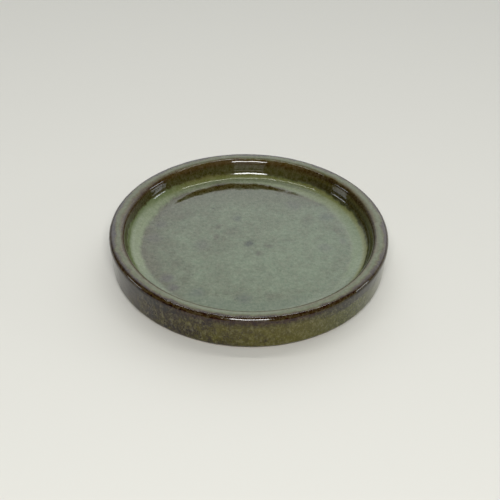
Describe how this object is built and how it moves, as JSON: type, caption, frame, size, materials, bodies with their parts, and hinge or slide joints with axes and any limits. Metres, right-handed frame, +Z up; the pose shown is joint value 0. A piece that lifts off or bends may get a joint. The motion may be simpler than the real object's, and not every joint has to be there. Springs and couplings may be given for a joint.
{
  "type": "plant saucer",
  "caption": "Round glazed stoneware plant saucer with a thick upright rim and a bare foot ring, to stand a pot on and catch its water.",
  "frame": {"origin": "on the ground, under the centre of the foot ring", "axes": "+Z up, along the axis that the saucer is round about; +X and +Y are free, because every section is the same"},
  "size_m": [0.1794, 0.1794, 0.025],
  "materials": {
    "fired_clay": "bare fired stoneware, matte",
    "green_glaze": "glossy moss-green glaze that breaks brown on the edges"
  },
  "bodies": {
    "root": {"clay_body": "fired_clay", "glaze_coat": "green_glaze"}
  },
  "joints": []
}
